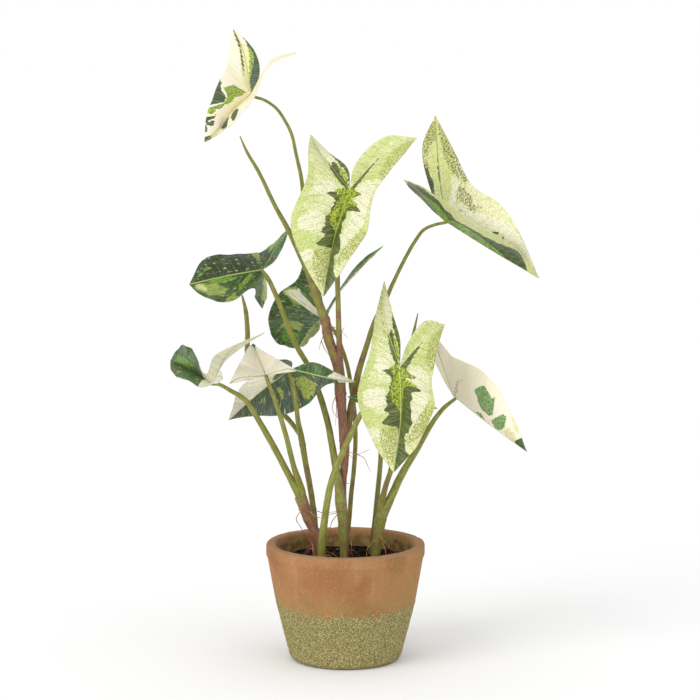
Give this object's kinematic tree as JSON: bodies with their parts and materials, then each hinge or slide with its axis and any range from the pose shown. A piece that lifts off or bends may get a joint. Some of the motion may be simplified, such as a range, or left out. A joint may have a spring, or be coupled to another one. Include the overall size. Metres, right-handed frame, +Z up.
{
  "type": "potted syngonium",
  "caption": "Arrowhead house plant with variegated leaves on tall petioles and canes, standing in soil in a tapered terracotta pot with a moss-grown foot.",
  "frame": {"origin": "centre of the pot's flat base, on the surface that it stands on", "axes": "+Z up, +X to the viewer's right, +Y away from the viewer of the picture"},
  "size_m": [0.3664, 0.1801, 0.6282],
  "materials": {
    "terracotta": "matte fired clay, moss and grit on the lower half",
    "soil": "loose dark potting soil",
    "stem": "smooth green petiole, satin",
    "cane": "reddish brown cane with node rings",
    "leaf_cream": "cream leaf with green patches, satin",
    "leaf_lime": "mottled lime and cream leaf with a dark midrib patch, satin",
    "leaf_dark": "dark green leaf with light flecks, satin"
  },
  "bodies": {
    "root": {"pot": "terracotta", "soil": "soil", "shoot_left": "stem", "shoot_dark_low": "stem", "shoot_front": "stem", "shoot_middle": "stem", "shoot_tall": "cane", "shoot_thin": "stem", "shoot_right": "stem", "shoot_back": "stem", "leaf_top_left": "leaf_cream", "leaf_top_centre": "leaf_lime", "leaf_top_right": "leaf_cream", "leaf_upper_left": "leaf_dark", "leaf_lower_left": "leaf_dark", "leaf_small_cream": "leaf_cream", "leaf_behind_cane": "leaf_dark", "leaf_centre_right": "leaf_lime", "leaf_right": "leaf_cream", "leaf_dark_low": "leaf_dark", "leaf_hidden": "leaf_dark"}
  },
  "joints": []
}
